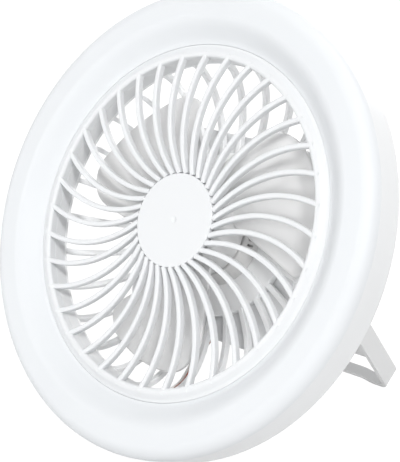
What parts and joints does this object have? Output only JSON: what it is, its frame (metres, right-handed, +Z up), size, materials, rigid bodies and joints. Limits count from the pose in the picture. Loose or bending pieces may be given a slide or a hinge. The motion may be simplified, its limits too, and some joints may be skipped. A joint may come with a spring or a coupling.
{
  "type": "portable_fan",
  "caption": "Portable camping fan with a ring light around its round grille, a battery box with two push buttons behind it, and a folding stand that can also hang it",
  "frame": {"origin": "middle of the footprint of the fan as it stands on its ring and stand, on the ground", "axes": "+Z up, -Y towards the side that the air blows to, +X to the right seen from the front"},
  "size_m": [0.199, 0.1489, 0.1864],
  "materials": {
    "white_gloss": "bright white moulded plastic with a soft gloss",
    "milky_lens": "milky, light-spreading plastic with a satin gloss",
    "white_shell": "white moulded plastic with a fine satin skin",
    "pale_grey": "smooth pale warm-grey plastic",
    "blade_white": "smooth off-white blade plastic",
    "stand_white": "smooth white plastic with a soft gloss",
    "button_white": "polished white plastic",
    "black_plastic": "plain black moulding",
    "clear_lens": "small clear light pipe",
    "board_white": "white-masked circuit board",
    "board_green": "green-masked circuit board",
    "led_yellow": "yellow phosphor chip faces",
    "steel": "zinc-plated or drawn steel",
    "nickel": "nickel-plated sheet",
    "bronze": "sintered bronze and brass sheet",
    "copper": "lacquered copper",
    "ferrite": "dark ferrite and laminated iron",
    "nylon": "pale nylon washer",
    "cell_wrap": "blue shrink-wrap",
    "wire_red": "soft wire insulation, reddish brown and white"
  },
  "bodies": {
    "housing": {"front_guard": "white_gloss", "diffuser": "milky_lens", "lamp_tray": "white_shell", "led_board": "board_white", "led_chips": "led_yellow", "rear_guard": "white_shell", "motor_cup": "pale_grey", "motor_can": "steel", "motor_end_bell": "black_plastic", "motor_bushes": "bronze", "motor_magnets": "ferrite", "motor_brushes": "bronze", "box_body": "white_shell", "box_cover": "white_shell", "upper_cell": "cell_wrap", "lower_cell": "cell_wrap", "cell_contacts": "nickel", "control_board": "board_green", "switch_bodies": "black_plastic", "usb_socket": "nickel", "charge_light": "clear_lens", "hinge_screws": "steel", "friction_washers": "nylon", "ring_screws": "steel", "cup_screws": "steel", "box_screws": "steel", "cover_screws": "steel", "motor_wires": "wire_red", "lamp_wires": "wire_red"},
    "impeller": {"impeller": "blade_white", "motor_shaft": "steel", "armature": "ferrite", "windings": "copper", "commutator": "copper", "shaft_clip": "steel"},
    "stand": {"stand": "stand_white"},
    "fan_button": {"fan_button": "button_white"},
    "lamp_button": {"lamp_button": "button_white"}
  },
  "joints": [
    {"name": "impeller_spin", "type": "hinge", "parent": "housing", "child": "impeller", "pos_m": [0, -0.01089, 0.08719], "axis": [0, -0.9063, 0.4226], "continuous": true},
    {"name": "stand_swing", "type": "hinge", "parent": "housing", "child": "stand", "pos_m": [0, 0.01449, 0.07536], "axis": [1, 0, 0], "range_deg": [-62.7, 117.1]},
    {"name": "fan_button_press", "type": "slide", "parent": "housing", "child": "fan_button", "axis": [0, -0.9063, 0.4226], "range_m": [0, 0.0008], "stiffness_N_per_m": 1200},
    {"name": "lamp_button_press", "type": "slide", "parent": "housing", "child": "lamp_button", "axis": [0, -0.9063, 0.4226], "range_m": [0, 0.0008], "stiffness_N_per_m": 1200}
  ]
}
